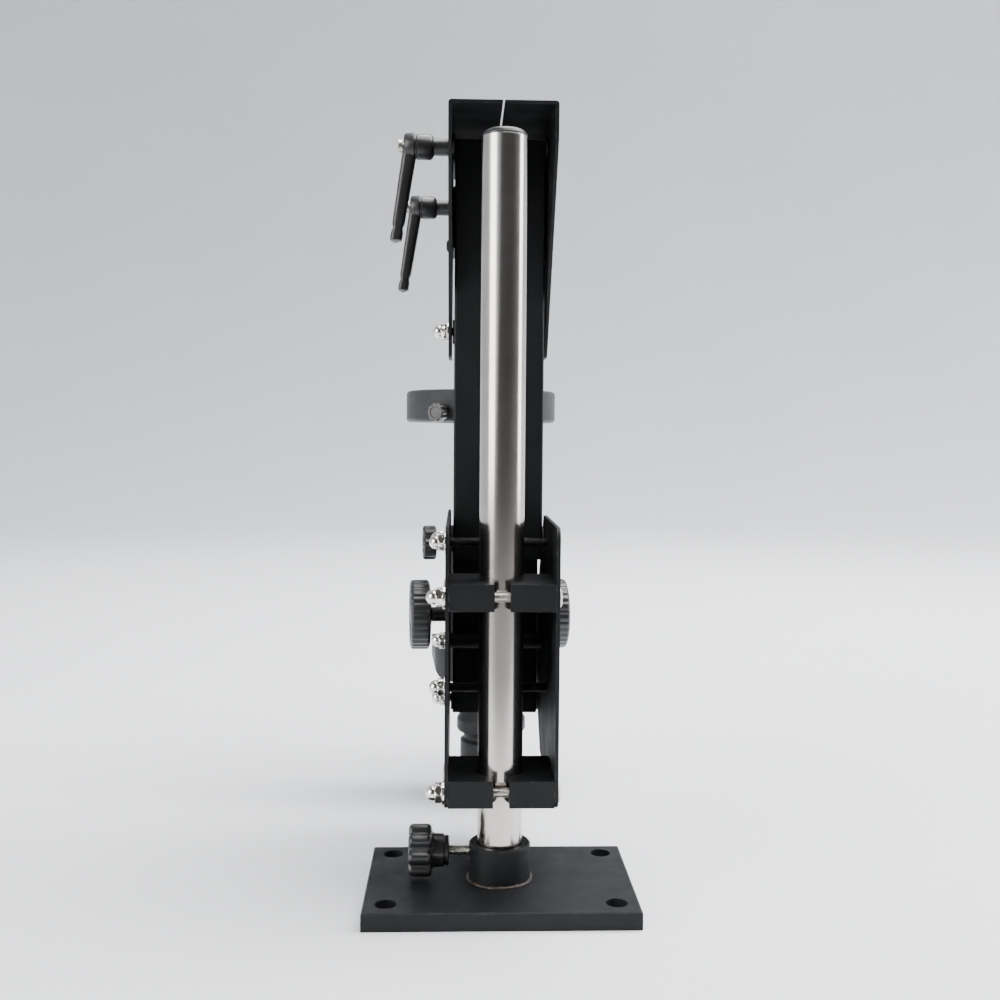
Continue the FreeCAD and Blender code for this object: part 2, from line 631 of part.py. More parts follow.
def clamp_lever(name, y, z, tip):
    """Adjustable clamp lever: stud reaching in to tip, hub, hanging handle and end screw."""
    stud_end = "(lever_hub_x - lever_hub_length - lever_stud_grip)"
    keep(name + "_stud", cylinder(name + "_stud", "axle_rad", "%s - %s" % (tip, stud_end),
                                  stud_end, y, z, "+X"))
    neck = cylinder(name + "_neck", "lever_neck_rad",
                    "-(plate_inner + sheet_thick + lever_seat_gap) - lever_hub_x",
                    "lever_hub_x", y, z, "+X")
    hub = cylinder(name + "_hub", "lever_hub_rad", "lever_hub_length", "lever_hub_x", y, z, "-X")
    grip = doc.addObject("PartDesign::Body", name + "_grip")
    side = sketch_on(grip, "XZ_Plane", name + "_side", "-lever_thick / 2")
    outline(side, LEVER_OUTLINE)
    handle = pad(grip, side, name + "_grip_pad", "lever_thick")
    dress(grip, "Fillet", handle, "lever_round", lambda e: runs_along(e, Y_AXIS))
    move(grip, "lever_plate_x", y, z)
    bore = cylinder(name + "_bore", "axle_rad", "-plate_inner - " + stud_end,
                    stud_end, y, z, "+X")
    cap = cylinder(name + "_cap", "lever_screw_rad", "lever_cap_height",
                   "lever_plate_x - lever_cap_x", y, z, "-X")
    shank = cylinder(name + "_cap_shank", "lever_shank_rad", "lever_shank_length",
                     "lever_plate_x - lever_shank_x", y, z, "-X")
    keep(name + "_screw", fuse(name + "_cap_screw", [cap, shank]))
    keep(name, cut(name, fuse(name + "_whole", [neck, hub, grip]), [bore, cap, shank]))


# ---------------------------------------------------------------- drop post and focus drive

HUB_OUTLINE = [("post_rad", "0"), ("hub_rad - 4", "0"), ("hub_rad - 2.5", "1.5"),
               ("hub_rad - 2.5", "40"), ("hub_rad - 5", "42"), ("hub_rad - 5", "45"),
               ("hub_rad", "48"), ("hub_rad", "56"), ("hub_rad - 6", "hub_height"),
               ("post_rad", "hub_height")]


def drop_post():
    keep("drop_post", cylinder("drop_post", "post_rad", "post_top - post_bottom",
                               0, "post_y", "post_bottom"))
    low = "block_top + stop_ring_gap"
    ring = cylinder("stop_ring_disc", "stop_ring_rad", "stop_ring_height", 0, "post_y", low)
    bore = cylinder("stop_ring_bore", "post_rad", "stop_ring_height", 0, "post_y", low)
    keep("stop_ring", cut("stop_ring", ring, [bore]))
    body = doc.addObject("PartDesign::Body", "post_hub")
    half = sketch_on(body, "XZ_Plane", "post_hub_section")
    outline(half, HUB_OUTLINE)
    turned = body.newObject("PartDesign::Revolution", "post_hub_turned")
    turned.Profile = half
    turned.ReferenceAxis = (half, ["V_Axis"])
    turned.Angle = 360
    doc.recompute()
    dress(body, "Fillet", turned, "hub_fillet",
          lambda e: e.Curve.TypeId == "Part::GeomCircle"
          and abs(e.Curve.Radius - size("hub_rad")) < 0.01)
    move(body, 0, "post_y", "hub_bottom")
    keep("post_hub", body)


def focus_body():
    """Yoke on the post, gear housing, and the two dovetail rails bolted to its front."""
    slab = block("yoke_slab", "2 * yoke_half", "housing_front - yoke_rear", "yoke_height",
                 "-yoke_half", "yoke_rear", "yoke_bottom")
    low_edge, rear_edge = size("yoke_bottom") + 1, size("yoke_rear") + 1
    soft = round_edges("yoke_soft", slab, size("yoke_corner"),
                       lambda e: runs_along(e, Y_AXIS) and e.BoundBox.ZMax < low_edge
                       or runs_along(e, Z_AXIS) and e.BoundBox.YMax < rear_edge)
    bore = cylinder("yoke_bore", "post_rad", "yoke_height", 0, "post_y", "yoke_bottom")
    keep_on_post("focus_yoke", cut("focus_yoke", soft, [bore]))
    low = "yoke_bottom + yoke_height"
    shell = block("housing_block", "2 * housing_half", "housing_front - housing_rear",
                  "housing_height", "-housing_half", "housing_rear", low)
    rear_edge = size("housing_rear") + 1
    soft_shell = round_edges("housing_soft", shell, size("housing_corner"),
                             lambda e: runs_along(e, Z_AXIS) and e.BoundBox.YMax < rear_edge)
    axle = cylinder("housing_axle_bore", "focus_axle_rad + axle_bore_fit", "2 * housing_half",
                    "-housing_half", "axle_y", "axle_z", "+X")
    reach = "(pinion_rad + pinion_clear)"
    room = block("housing_pinion_room", "pinion_room", "housing_front - axle_y + " + reach,
                 "2 * " + reach, "-pinion_room / 2", "axle_y - " + reach, "axle_z - " + reach)
    tension = cylinder("housing_tension_bore", "axle_rad + axle_fit", "tension_depth + 1",
                       "-housing_half", "axle_y", "tension_z", "+X")
    keep_on_post("focus_housing", cut("focus_housing", soft_shell, [axle, room, tension]))
    front = "housing_front + rack_thick"
    for tag, sign in (("left", "-"), ("right", "")):
        rail = doc.addObject("PartDesign::Body", "slide_rail_" + tag)
        section = sketch_on(rail, "XY_Plane", "rail_section_" + tag, low)
        foot = sign + "(rack_half + rack_gap)"
        tip = sign + "(rack_half + rack_gap - rack_dovetail)"
        outline(section, [(foot, "housing_front"), (sign + "housing_half", "housing_front"),
                          (sign + "housing_half", front), (tip, front)])
        pad(rail, section, "rail_pad_" + tag, "housing_height")
        keep_on_post("slide_rail_" + tag, rail)
    screws = [cylinder("rail_screw_%s%d" % (tag, k), "axle_rad", "rail_screw_head",
                       sign + "rail_screw_x", front, height, "+Y")
              for tag, sign in (("left", "-"), ("right", ""))
              for k, height in enumerate((low + " + rail_screw_z",
                                          low + " + housing_height - rail_screw_z"))]
    keep_on_post("rail_screws", group("rail_screws", screws))


PINION_TEETH = 20
RACK_TEETH_BELOW, RACK_TEETH_ABOVE = 11, 12


def focus_knobs():
    """Axle across the housing with its pinion and the two coarse hand knobs."""
    half = "(focus_knob_inner + focus_axle_grip)"
    keep_on_post("focus_axle", cylinder("focus_rod", "focus_axle_rad", "2 * " + half,
                                        "-" + half, "axle_y", "axle_z", "+X"))
    gear = cylinder("pinion_disc", "pinion_rad", "pinion_width", "-pinion_width / 2",
                    "axle_y", "axle_z", "+X")
    cutters = [cylinder("pinion_eye", "focus_axle_rad", "pinion_room", "-pinion_room / 2",
                        "axle_y", "axle_z", "+X")]
    for k in range(PINION_TEETH):
        angle = 2 * math.pi * k / PINION_TEETH
        cutters.append(cylinder("pinion_gap%d" % k, "pinion_gap", "pinion_room",
                                "-pinion_room / 2",
                                "axle_y + pinion_rad * %.5f" % math.cos(angle),
                                "axle_z + pinion_rad * %.5f" % math.sin(angle), "+X"))
    keep_on_post("pinion", cut("pinion", gear, cutters))
    for side, way, sign in (("left", "-X", "-"), ("right", "+X", "")):
        name = "focus_knob_" + side
        neck = cylinder(name + "_neck", "focus_neck_rad",
                        "focus_knob_inner - housing_half - focus_neck_gap",
                        sign + "(housing_half + focus_neck_gap)", "axle_y", "axle_z", way)
        bore = cylinder(name + "_bore", "focus_axle_rad",
                        "focus_knob_inner + focus_axle_grip - housing_half",
                        sign + "housing_half", "axle_y", "axle_z", way)
        knob = fluted_knob(name, "focus_knob_rad", "focus_knob_width", 24, 2.2, 1.2,
                           sign + "focus_knob_inner", "axle_y", "axle_z", way, [neck])
        keep_on_post(name, cut(name, knob, [bore]))


def tension_screw():
    """Friction screw of the slide with its small knob on the left of the housing."""
    knob_x = "(housing_half + tension_knob_x)"
    seat = "-(%s + tension_grip)" % knob_x
    length = "%s + tension_grip - housing_half + tension_depth" % knob_x
    keep_on_post("tension_screw", cylinder("tension_rod", "axle_rad", length, seat,
                                           "axle_y", "tension_z", "+X"))
    socket = cylinder("tension_socket", "axle_rad", length, seat, "axle_y", "tension_z", "+X")
    collar = cylinder("tension_collar", "tension_collar_rad", "tension_knob_x - focus_neck_gap",
                      "-(housing_half + focus_neck_gap)", "axle_y", "tension_z", "-X")
    disc = fluted_knob("tension_knob", "tension_knob_rad", "tension_knob_width", 8, 3, 1.8,
                       "-" + knob_x, "axle_y", "tension_z", "-X", [collar])
    keep_on_post("tension_knob", cut("tension_knob", disc, [socket]))


def rack():
    """Dovetail slide with round rack teeth, between the two rails."""
    bar = doc.addObject("PartDesign::Body", "rack_slide")
    section = sketch_on(bar, "XY_Plane", "rack_section", "rack_bottom")
    rear, front = "housing_front + rack_gap", "housing_front + rack_thick"
    groove = "axle_y + pinion_rad + rack_groove_gap"
    outline(section, [("-rack_half", rear), ("-rack_groove_half", rear),
                      ("-rack_groove_half", groove), ("rack_groove_half", groove),
                      ("rack_groove_half", rear), ("rack_half", rear),
                      ("rack_half - rack_dovetail", front), ("-rack_half + rack_dovetail", front)])
    pad(bar, section, "rack_pad", "rack_top - rack_bottom")
    pitch = 2 * math.pi * size("pinion_rad") / PINION_TEETH
    teeth = [cylinder("rack_tooth%d" % (k + RACK_TEETH_BELOW), "rack_tooth_rad",
                      "rack_tooth_length", "-rack_tooth_length / 2", "axle_y + pinion_rad",
                      "axle_z + %.5f" % (k * pitch), "+X")
             for k in range(-RACK_TEETH_BELOW, RACK_TEETH_ABOVE + 1)]
    keep_on_post("rack_bar", fuse("rack_bar", [bar] + teeth))


def on_ring(name, obj):
    """Move something built along +X from the origin onto the ring screw's line."""
    return swing(name, obj, "ring_screw_angle", "0", "ring_y", "ring_bottom + ring_screw_z")


def ring_holder():
    """Ring that takes the microscope body, its foot on the rack, and the thumb-screw."""
    body = doc.addObject("PartDesign::Body", "ring_band")
    face = sketch_on(body, "XY_Plane", "ring_face", "ring_bottom")
    hole(face, "0", "ring_y", "ring_rad")
    hole(face, "0", "ring_y", "ring_bore_rad")
    ring = pad(body, face, "ring_pad", "ring_height")
    dress(body, "Fillet", ring, "ring_edge",
          lambda e: e.Curve.TypeId == "Part::GeomCircle" and e.BoundBox.ZLength < 0.1
          and abs(e.Curve.Radius - size("ring_rad")) < 0.01)
    back = block("ring_foot", "2 * rack_half", "ring_foot", "ring_height", "-rack_half",
                 "housing_front + rack_thick", "ring_bottom")
    clear = cylinder("ring_foot_bore", "ring_rad - 2", "ring_height", 0, "ring_y", "ring_bottom")
    foot = cut("ring_foot_cut", back, [clear])
    bore = cylinder("ring_screw_bore", "ring_screw_rad + axle_fit", "ring_rad - ring_bore_rad + 4",
                    "ring_bore_rad - 2", 0, 0, "+X")
    keep_on_post("ring_holder", cut("ring_holder", fuse("ring_whole", [body, foot]),
                                    [on_ring("ring_screw_bore_placed", bore)]))
    rod = cylinder("ring_screw_rod", "ring_screw_rad", "ring_screw_length",
                   "ring_screw_start", 0, 0, "+X")
    keep_on_post("ring_screw", on_ring("ring_screw_placed", rod))
    neck_x = "(ring_rad + ring_neck_gap)"
    neck = cylinder("ring_knob_neck", "ring_neck_rad", "ring_knob_start - " + neck_x,
                    neck_x, 0, 0, "+X")
    disc = fluted_knob("ring_knob", "ring_knob_rad", "ring_knob_width", 10, 1.6, 0.7,
                       "ring_knob_start", "0", "0", "+X", [neck])
    socket = cylinder("ring_knob_socket", "ring_screw_rad", "ring_screw_length",
                      "ring_screw_start", 0, 0, "+X")
    knob = cut("ring_knob_bored", disc, [socket])
    keep_on_post("ring_screw_knob", on_ring("ring_knob_placed", knob))


base_plate()
pole_collar()
pole()
collar_thumb_screw()
bracket()
link("upper_link", "pivot_a_y", "pivot_a_z", "upper_link_depth", "upper_tail")
link("lower_link", "pivot_b_y", "pivot_b_z", "lower_link_depth", "lower_tail")
link_bushes("upper_bushes", "pivot_a_y", "pivot_a_z", "bush_fit")
link_bushes("lower_bushes", "pivot_b_y", "pivot_b_z", "open_pivot_fit")
balance_springs()
head_plates()
head_axles()
swivel_block()
clamp_lever("arm_lever", "pivot_a_y", "pivot_a_z + link_length", "-(plate_inner + arm_stud_gap)")
clamp_lever("post_lever", "block_screw_y", "block_screw_z", "plate_inner - post_stud_gap")
drop_post()
focus_body()
focus_knobs()
tension_screw()
rack()
ring_holder()
doc.recompute()

for obj in doc.Objects:
    if "Invalid" in obj.State or "Error" in obj.State:
        raise RuntimeError("%s failed: %s" % (obj.Label, obj.State))
for node in nodes:
    if node.Shape.isNull() or not node.Shape.isValid() or not node.Shape.Solids:
        raise RuntimeError(node.Label + " has no valid shape")
os.makedirs("parts", exist_ok=True)
for node in nodes:
    node.Shape.exportStep("parts/%s.step" % node.Label)
    print("%-22s solids %2d volume %9.0f" % (node.Label, len(node.Shape.Solids), node.Shape.Volume))
print(len(nodes), "nodes")
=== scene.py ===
import json
import math

import bpy
import bmesh
from mathutils import Matrix, Vector


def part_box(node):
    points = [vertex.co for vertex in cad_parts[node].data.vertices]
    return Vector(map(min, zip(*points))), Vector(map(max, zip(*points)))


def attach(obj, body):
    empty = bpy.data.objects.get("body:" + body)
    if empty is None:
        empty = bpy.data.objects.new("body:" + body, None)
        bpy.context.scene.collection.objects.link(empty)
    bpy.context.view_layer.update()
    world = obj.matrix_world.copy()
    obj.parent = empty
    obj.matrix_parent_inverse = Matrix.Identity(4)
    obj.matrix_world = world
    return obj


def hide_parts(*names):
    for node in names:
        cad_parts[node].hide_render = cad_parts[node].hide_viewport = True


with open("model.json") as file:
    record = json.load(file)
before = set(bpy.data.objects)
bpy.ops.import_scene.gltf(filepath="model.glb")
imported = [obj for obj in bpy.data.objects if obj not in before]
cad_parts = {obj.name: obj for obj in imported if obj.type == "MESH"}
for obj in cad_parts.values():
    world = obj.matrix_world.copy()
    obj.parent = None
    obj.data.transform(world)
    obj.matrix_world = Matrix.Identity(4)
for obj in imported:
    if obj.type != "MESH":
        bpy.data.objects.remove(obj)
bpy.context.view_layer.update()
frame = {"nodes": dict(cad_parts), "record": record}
nodes = frame["nodes"]

MM = 0.001
BOLT_RADIUS, BOLT_PITCH = 3 * MM, 1.0 * MM
STUD_RADIUS = 2.97 * MM
FLAT_HEAD_RADIUS, FLAT_HEAD_HEIGHT = 5.6 * MM, 1.4 * MM
X_AXIS, Y_AXIS, Z_AXIS = Vector((1, 0, 0)), Vector((0, 1, 0)), Vector((0, 0, 1))


# ---------------------------------------------------------------- camera, floor and light

def make_camera():
    """Camera behind the pole, a little left of its centre and looking slightly down."""
    place = Vector((-0.0236, -0.6478, 0.2624))
    yaw, pitch, roll = math.radians(1.982), math.radians(3.204), math.radians(0.432)
    ahead = Vector((math.sin(yaw) * math.cos(pitch), math.cos(yaw) * math.cos(pitch),
                    -math.sin(pitch)))
    level = Vector((math.cos(yaw), -math.sin(yaw), 0))
    upright = level.cross(ahead)
    right = math.cos(roll) * level + math.sin(roll) * upright
    up = math.cos(roll) * upright - math.sin(roll) * level
    data = bpy.data.cameras.new("photo_camera")
    data.sensor_width = 36.0
    data.lens = 41.6
    data.clip_start = 0.01
    camera = bpy.data.objects.new("photo_camera", data)
    turn = Matrix((right, up, -ahead)).transposed()
    camera.matrix_world = Matrix.Translation(place) @ turn.to_4x4()
    bpy.context.scene.collection.objects.link(camera)
    bpy.context.scene.camera = camera


def area_light(name, place, target, width, height, power, colour=(1, 1, 1), spread=180):
    data = bpy.data.lights.new(name, "AREA")
    data.shape = "RECTANGLE"
    data.size, data.size_y = width, height
    data.energy = power
    data.color = colour
    data.spread = math.radians(spread)
    lamp = bpy.data.objects.new(name, data)
    lamp.location = place
    lamp.rotation_euler = (Vector(target) - Vector(place)).to_track_quat("-Z", "Y").to_euler()
    lamp.visible_camera = False
    bpy.context.scene.collection.objects.link(lamp)


def make_studio():
    """Softboxes at the left, right and top, and a lamp on the paper behind the stand."""
    middle = (0, 0.05, 0.25)
    gridded = 100
    area_light("top_softbox", (0.75, 0.05, 2.0), (0.3, 0.1, 0), 2.0, 2.0, 96)
    area_light("left_softbox", (-2.60, -1.55, 0.85), middle, 1.8, 3.4, 47,
               (1, 0.985, 0.95), gridded)
    area_light("right_softbox", (3.0, 0.25, 0.85), middle, 1.0, 3.4, 27,
               spread=gridded)
    area_light("backdrop_light", (0.9, 0.7, 2.2), (1.2, 2.9, 0.3), 2.4, 0.8, 105)
    world = bpy.data.worlds.new("pale_room")
    world.use_nodes = True
    tree = world.node_tree
    way = tree.nodes.new("ShaderNodeTexCoord")
    split = tree.nodes.new("ShaderNodeSeparateXYZ")
    tree.links.new(way.outputs["Generated"], split.inputs["Vector"])

    def fade(axis, dark, pale, floor):
        made = tree.nodes.new("ShaderNodeMapRange")
        made.interpolation_type = "SMOOTHSTEP"
        made.inputs["From Min"].default_value = dark
        made.inputs["From Max"].default_value = pale
        made.inputs["To Min"].default_value = floor
        tree.links.new(split.outputs[axis], made.inputs["Value"])
        return made.outputs["Result"]

    both = tree.nodes.new("ShaderNodeMath")
    both.operation = "MULTIPLY"
    tree.links.new(fade("Y", -0.50, 0.30, 0.0), both.inputs[0])
    tree.links.new(fade("X", -0.95, -0.15, 0.35), both.inputs[1])
    tone = tree.nodes.new("ShaderNodeMix")
    tone.data_type = "RGBA"
    tone.inputs[6].default_value = (0.100, 0.094, 0.088, 1)
    tone.inputs[7].default_value = (0.86, 0.90, 0.96, 1)
    tree.links.new(both.outputs["Value"], tone.inputs["Factor"])
    tree.links.new(tone.outputs[2], tree.nodes["Background"].inputs["Color"])
    bpy.context.scene.world = world


# ---------------------------------------------------------------- materials

class Surface:
    """Small helper that builds one procedural material."""

    def __init__(self, name, colour, metallic, roughness, coat=0.0):
        self.material = bpy.data.materials.new(name)
        self.material.use_nodes = True
        self.tree = self.material.node_tree
        self.shader = self.tree.nodes["Principled BSDF"]
        self.shader.inputs["Base Color"].default_value = (*colour, 1)
        self.shader.inputs["Metallic"].default_value = metallic
        self.shader.inputs["Roughness"].default_value = roughness
        self.shader.inputs["Coat Weight"].default_value = coat
        self.colour = colour
        self.place = self.node("ShaderNodeTexCoord").outputs["Object"]

    def node(self, kind, **settings):
        made = self.tree.nodes.new(kind)
        for key, value in settings.items():
            setattr(made, key, value)
        return made

    def link(self, source, target):
        self.tree.links.new(source, target)

    def stretched(self, scale):
        """Object coordinates stretched per axis, for brush marks and scratches."""
        mapping = self.node("ShaderNodeMapping")
        self.link(self.place, mapping.inputs["Vector"])
        mapping.inputs["Scale"].default_value = scale
        return mapping.outputs["Vector"]

    def noise(self, scale, detail=4.0, rough=0.55, vector=None):
        made = self.node("ShaderNodeTexNoise")
        made.inputs["Scale"].default_value = scale
        made.inputs["Detail"].default_value = detail
        made.inputs["Roughness"].default_value = rough
        self.link(vector or self.place, made.inputs["Vector"])
        return made.outputs["Fac"]

    def ramp(self, fac, low, high, low_at=0.3, high_at=0.7):
        made = self.node("ShaderNodeValToRGB")
        made.color_ramp.elements[0].position = low_at
        made.color_ramp.elements[1].position = high_at
        made.color_ramp.elements[0].color = (*low, 1)
        made.color_ramp.elements[1].color = (*high, 1)
        self.link(fac, made.inputs["Fac"])
        return made.outputs["Color"]

    def spread(self, fac, low, high):
        """Map a noise value onto a range, as for roughness."""
        made = self.node("ShaderNodeMapRange")
        made.inputs["From Min"].default_value = 0.3
        made.inputs["From Max"].default_value = 0.7
        made.inputs["To Min"].default_value = low
        made.inputs["To Max"].default_value = high
        self.link(fac, made.inputs["Value"])
        return made.outputs["Result"]

    def bump(self, fac, distance, strength, edge=0.0004):
        """Relief on top of softened edges."""
        soft = self.node("ShaderNodeBevel", samples=4)
        soft.inputs["Radius"].default_value = edge
        made = self.node("ShaderNodeBump")
        made.inputs["Distance"].default_value = distance
        made.inputs["Strength"].default_value = strength
        self.link(fac, made.inputs["Height"])
        self.link(soft.outputs["Normal"], made.inputs["Normal"])
        self.link(made.outputs["Normal"], self.shader.inputs["Normal"])

    def edge_mask(self, radius=0.0007):
        """1 on worn corners, 0 on flats: where a rounded normal leaves the true one."""
        soft = self.node("ShaderNodeBevel", samples=4)
        soft.inputs["Radius"].default_value = radius
        true = self.node("ShaderNodeNewGeometry")
        dot = self.node("ShaderNodeVectorMath", operation="DOT_PRODUCT")
        self.link(soft.outputs["Normal"], dot.inputs[0])
        self.link(true.outputs["True Normal"], dot.inputs[1])
        made = self.node("ShaderNodeMapRange")
        made.inputs["From Min"].default_value = 0.97
        made.inputs["From Max"].default_value = 0.75
        self.link(dot.outputs["Value"], made.inputs["Value"])
        return made.outputs["Result"]

    def times(self, a, b):
        """Product of a value with another value or a plain number."""
        made = self.node("ShaderNodeMath", operation="MULTIPLY")
        self.link(a, made.inputs[0])
        if isinstance(b, float):
            made.inputs[1].default_value = b
        else:
            self.link(b, made.inputs[1])
        return made.outputs["Value"]

    def mix(self, fac, low, high):
        made = self.node("ShaderNodeMix", data_type="RGBA")
        self.link(fac, made.inputs["Factor"])
        for socket, value in ((made.inputs[6], low), (made.inputs[7], high)):
            if isinstance(value, tuple):
                socket.default_value = (*value, 1)
            else:
                self.link(value, socket)
        return made.outputs[2]


def tinted(colour, factor):
    return tuple(min(1.0, c * factor) for c in colour)


def powder_coat(name, colour, wear, roughness=0.52):
    """Fine-textured baked paint with dusty patches and worn corners."""
    s = Surface(name, colour, 0.0, roughness)
    grain = s.noise(2600, 3, 0.6)
    patch = s.noise(14, 5, 0.6)
    body = s.ramp(patch, tinted(colour, 0.82), tinted(colour, 1.28))
    speck = s.ramp(s.noise(900, 2, 0.5), (0, 0, 0), (1, 1, 1), 0.72, 0.80)
    dusted = s.mix(s.times(speck, s.spread(patch, 0.0, 0.25)), body, (0.085, 0.087, 0.09))
    chips = s.ramp(s.noise(170, 4, 0.7), (0, 0, 0), (1, 1, 1), 0.50, 0.62)
    worn = s.times(s.edge_mask(), chips)
    s.link(s.mix(s.times(worn, wear), dusted, (0.16, 0.16, 0.17)), s.shader.inputs["Base Color"])
    s.link(s.spread(s.noise(40, 4, 0.6), roughness - 0.07, roughness + 0.09),
           s.shader.inputs["Roughness"])
    s.shader.inputs["Specular IOR Level"].default_value = 0.22
    s.bump(grain, 0.00012, 0.22)
    return s.material


def brushed_steel():
    """Ground stainless tube: fine rings round it and soft cloudy polishing."""
    s = Surface("brushed_steel", (0.54, 0.512, 0.483), 1.0, 0.2)
    rings = s.noise(1.0, 6, 0.7, s.stretched((60, 60, 5200)))
    scratch = s.noise(1.0, 3, 0.6, s.stretched((900, 900, 14)))
    cloud = s.noise(22, 4, 0.6)
    s.link(s.ramp(cloud, (0.48, 0.452, 0.424), (0.60, 0.571, 0.541)), s.shader.inputs["Base Color"])
    s.link(s.spread(s.times(rings, s.spread(scratch, 0.9, 1.25)), 0.10, 0.22),
           s.shader.inputs["Roughness"])
    s.shader.inputs["Anisotropic"].default_value = 0.45
    s.bump(rings, 0.00002, 0.06)
    return s.material


def plated(name, colour, low, high):
    """Bright plating with faint tumbling marks and slight tarnish."""
    s = Surface(name, colour, 1.0, low)
    s.link(s.ramp(s.noise(120, 4, 0.6), tinted(colour, 0.84), tinted(colour, 1.08)),
           s.shader.inputs["Base Color"])
    s.link(s.spread(s.noise(420, 4, 0.6), low, high), s.shader.inputs["Roughness"])
    s.bump(s.noise(700, 3, 0.6), 0.00004, 0.12, 0.0003)
    return s.material


def moulded_plastic(name, colour, roughness, coat):
    """Semi-gloss moulding with a faint spark-erosion texture and handling marks."""
    s = Surface(name, colour, 0.0, roughness, coat)
    s.shader.inputs["Coat Roughness"].default_value = 0.12
    s.link(s.ramp(s.noise(30, 4, 0.6), tinted(colour, 0.8), tinted(colour, 1.35)),
           s.shader.inputs["Base Color"])
    s.link(s.spread(s.noise(75, 5, 0.65), roughness - 0.07, roughness + 0.10),
           s.shader.inputs["Roughness"])
    s.bump(s.noise(1500, 2, 0.5), 0.00006, 0.14, 0.0003)
    return s.material


def weld_skin():
    """Heat-tinted, lumpy adhesive weld under the collar."""
    s = Surface("weld_skin", (0.12, 0.075, 0.045), 0.35, 0.45)
    s.link(s.ramp(s.noise(160, 5, 0.7), (0.012, 0.011, 0.010), (0.060, 0.042, 0.030)),
           s.shader.inputs["Base Color"])
    s.link(s.spread(s.noise(200, 3, 0.6), 0.32, 0.6), s.shader.inputs["Roughness"])
    s.bump(s.noise(420, 4, 0.6), 0.0003, 0.5)
    return s.material


def floor_paper():
    """Pale seamless paper with a barely visible fibre, and painted shade that darkens it in front
    of the stand.
    """
    s = Surface("floor_paper", (0.80, 0.81, 0.835), 0.0, 0.6)
    split = s.node("ShaderNodeSeparateXYZ")
    s.link(s.place, split.inputs["Vector"])

    def fade(axis, low, high):
        made = s.node("ShaderNodeMapRange", interpolation_type="SMOOTHSTEP")
        made.inputs["From Min"].default_value = low
        made.inputs["From Max"].default_value = high
        s.link(split.outputs[axis], made.inputs["Value"])
        return made.outputs["Result"]

    paper = s.ramp(s.noise(2.2, 5, 0.5), (0.90, 0.92, 0.955), (0.94, 0.955, 0.98))
    # Painted shade colour: dark grey far out in front of the stand, lighter nearer to it.
    front = s.mix(fade("Y", -4.0, -1.2), (0.10, 0.096, 0.092), (0.28, 0.275, 0.27))
    # Painted shade mask: none where y > -0.12 m, full where y < -0.55 m, fading out where x < -1.4
    # m.
    shade = s.times(fade("Y", -0.12, -0.55), fade("X", -2.8, -1.4))
    s.link(s.mix(shade, paper, front), s.shader.inputs["Base Color"])
    s.bump(s.noise(700, 3, 0.6), 0.0001, 0.08)
    return s.material


MATERIALS = {
    "black_paint": powder_coat("black_paint", (0.0070, 0.0078, 0.0088), 0.6),
    "dark_grey": powder_coat("dark_grey", (0.0050, 0.0060, 0.0070), 0.5, 0.50),
    "grey_paint": powder_coat("grey_paint", (0.036, 0.0375, 0.040), 0.5, 0.46),
    "steel": brushed_steel(),
    "zinc": plated("zinc", (0.62, 0.60, 0.55), 0.24, 0.40),
    "nickel": plated("nickel", (0.83, 0.80, 0.75), 0.06, 0.17),
    "spring_steel": plated("spring_steel", (0.34, 0.34, 0.36), 0.28, 0.45),
    "brass": plated("brass", (0.72, 0.53, 0.25), 0.22, 0.38),
    "black_plastic": moulded_plastic("black_plastic", (0.0120, 0.0125, 0.0135), 0.37, 0.18),
    "nylon": moulded_plastic("nylon", (0.030, 0.030, 0.030), 0.5, 0.0),
}
WELD = weld_skin()


def dress_frame():
    """Give each CAD node the material of its slot."""
    for part in frame["record"]["subparts"]:
        shape = nodes[part["node"]]
        shape.data.materials.clear()
        shape.data.materials.append(MATERIALS[part["material_slot"]])


# ---------------------------------------------------------------- mesh helpers

POST_Y = 190 * MM
POST_TURN = (Matrix.Translation((0, POST_Y, 0)) @ Matrix.Rotation(math.radians(4), 4, "Z")
             @ Matrix.Translation((0, -POST_Y, 0)))


def square_box(node):
    """Bounds of a node on the drop post, with the post turned back square."""
    back = POST_TURN.inverted()
    spots = [back @ vert.co for vert in nodes[node].data.vertices]
    return tuple(Vector([pick(spot[i] for spot in spots) for i in range(3)])
                 for pick in (min, max))


def turn_with_post(shape):
    bmesh.ops.transform(shape, matrix=POST_TURN, verts=shape.verts)


def middle_of(node):
    low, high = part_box(node)
    return (low + high) / 2


def add_piece(name, shape, material, body, replaces=(), sharp=35):
    """Turn a bmesh into a piece that rides on a body."""
    bmesh.ops.remove_doubles(shape, verts=shape.verts, dist=1e-7)
    bmesh.ops.recalc_face_normals(shape, faces=shape.faces)
    data = bpy.data.meshes.new(name)
    shape.to_mesh(data)
    shape.free()
    data.shade_smooth()
    data.set_sharp_from_angle(angle=math.radians(sharp))
    data.materials.append(material)
    piece = bpy.data.objects.new(name, data)
    bpy.context.scene.collection.objects.link(piece)
    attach(piece, body)
    if replaces:
        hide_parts(*replaces)
    return piece


def side_axes(axis):
    across = Z_AXIS if abs(axis.z) < 0.9 else X_AXIS
    u = axis.cross(across).normalized()
    return u, axis.cross(u).normalized()


def loft(shape, rings, closed_ends=True, loop=False):
    """Skin rings of points; the first and last are capped."""
    rows = [[shape.verts.new(p) for p in ring] for ring in rings]
    count = len(rows[0])
    pairs = list(zip(rows, rows[1:]))
    if loop:
        pairs.append((rows[-1], rows[0]))
    for a, b in pairs:
        for i in range(count):
            j = (i + 1) % count
            shape.faces.new((a[i], a[j], b[j], b[i]))
    if closed_ends and not loop:
        shape.faces.new(rows[0][::-1])
        shape.faces.new(rows[-1])


